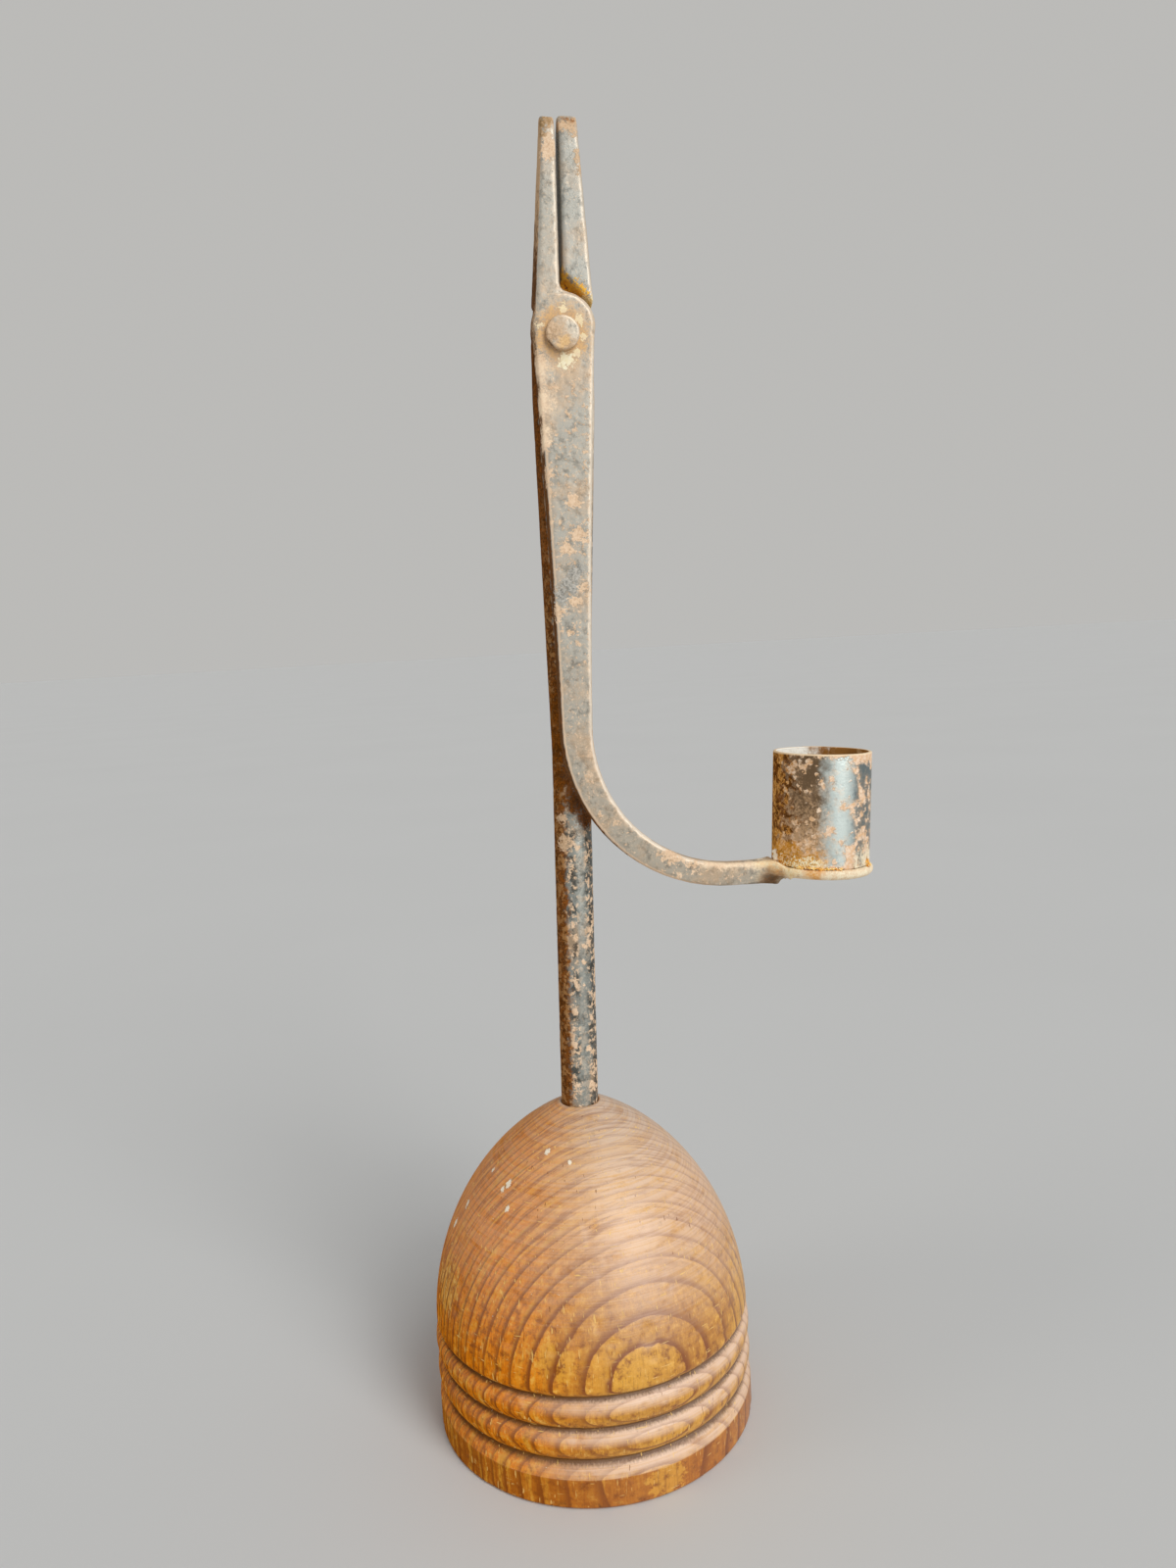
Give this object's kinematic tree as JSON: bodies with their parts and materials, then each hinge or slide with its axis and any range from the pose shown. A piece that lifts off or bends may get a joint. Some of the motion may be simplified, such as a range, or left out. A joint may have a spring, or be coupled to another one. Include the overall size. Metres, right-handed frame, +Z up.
{
  "type": "rushlight holder",
  "caption": "Table rushlight holder: turned wooden base, forged iron stem ending in a fixed jaw, and a riveted lever whose candle socket weighs the nip shut.",
  "frame": {"origin": "centre of the wooden foot's flat underside", "axes": "+Z up from the foot, +X towards the side where the arm carries the candle socket, -Y towards the side that shows the rivet's head"},
  "size_m": [0.1157, 0.08, 0.3109],
  "materials": {
    "pine": "old waxed softwood with dark growth rings and dusty grooves",
    "forged_iron": "hammered wrought iron, dark scale with patches of brown rust",
    "rivet_iron": "hammered iron with rust round its rim",
    "sheet_iron": "rolled sheet iron, smooth and dark with rust blotches",
    "braze": "tarnished brown braze"
  },
  "bodies": {
    "stand": {"base": "pine", "stem": "forged_iron", "pivot_rivet": "rivet_iron"},
    "arm": {"lever": "forged_iron", "candle_socket": "sheet_iron", "socket_braze": "braze"}
  },
  "joints": [
    {"name": "jaw_pivot", "type": "hinge", "parent": "stand", "child": "arm", "pos_m": [0.00474, -0.0073, 0.26294], "axis": [0, -1, 0], "range_deg": [0, 80]}
  ]
}
